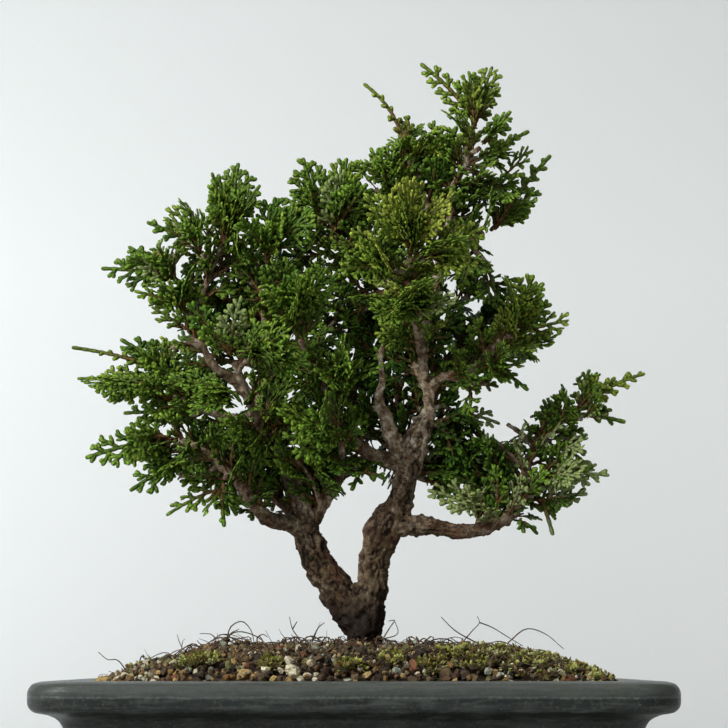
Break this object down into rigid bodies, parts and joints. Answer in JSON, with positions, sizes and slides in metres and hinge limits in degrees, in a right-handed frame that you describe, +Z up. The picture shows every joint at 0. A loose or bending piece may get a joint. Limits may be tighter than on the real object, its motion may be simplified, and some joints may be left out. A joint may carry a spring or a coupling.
{
  "type": "hinoki cypress bonsai",
  "caption": "Twin-trunk hinoki cypress bonsai with flat fan sprays of scale leaves, rooted in a soil mound in a dark glazed oblong pot with corner feet.",
  "frame": {"origin": "middle of the plane that the pot's four feet stand on, under the middle of the oblong pot", "axes": "+Z up along the tree's height, +X to the right along the pot's long side, -Y towards the viewing front"},
  "size_m": [0.1995, 0.15, 0.2721],
  "materials": {
    "pot_glaze": "satin",
    "screen_plastic": "matte",
    "soil_grains": "matte",
    "bark": "matte",
    "foliage": "satin"
  },
  "bodies": {
    "root": {"pot": "pot_glaze", "drain_screen_left": "screen_plastic", "drain_screen_right": "screen_plastic", "soil": "soil_grains", "trunk_and_branches": "bark", "left_tip_spray": "foliage", "low_left_spray": "foliage", "low_left_fan": "foliage", "left_shoots": "foliage", "left_middle_spray": "foliage", "left_high_fan": "foliage", "upper_left_peak": "foliage", "left_shoulder_spray": "foliage", "upper_left_low": "foliage", "upper_left_tip": "foliage", "upper_left_high": "foliage", "centre_left_top": "foliage", "crown_middle": "foliage", "notch_spray": "foliage", "slender_shoot": "foliage", "crown_shoulder": "foliage", "left_of_apex": "foliage", "apex_spray": "foliage", "apex_side": "foliage", "right_top_shoot": "foliage", "right_upper_shoot": "foliage", "right_upper_fill": "foliage", "right_shelf": "foliage", "right_dark_spray": "foliage", "right_bright_spray": "foliage", "right_edge_spray": "foliage", "right_skirt": "foliage", "right_hanging_spray": "foliage", "right_low_top": "foliage", "right_low_rear": "foliage", "right_low_end": "foliage", "right_low_middle": "foliage", "right_low_front": "foliage", "right_low_skirt": "foliage", "right_low_droop": "foliage", "right_low_pale": "foliage", "right_low_inner": "foliage", "front_bright_spray": "foliage", "front_right_spray": "foliage", "front_left_spray": "foliage", "front_low_spray": "foliage", "front_upper_left": "foliage", "front_middle_left": "foliage", "front_low_left": "foliage", "red_end_spray": "foliage", "red_side_spray": "foliage", "inner_front_spray": "foliage", "inner_low_spray": "foliage", "rear_left_spray": "foliage", "rear_upper_left": "foliage", "rear_middle": "foliage", "rear_low": "foliage", "rear_top": "foliage", "rear_centre": "foliage", "rear_right_low": "foliage"}
  },
  "joints": []
}
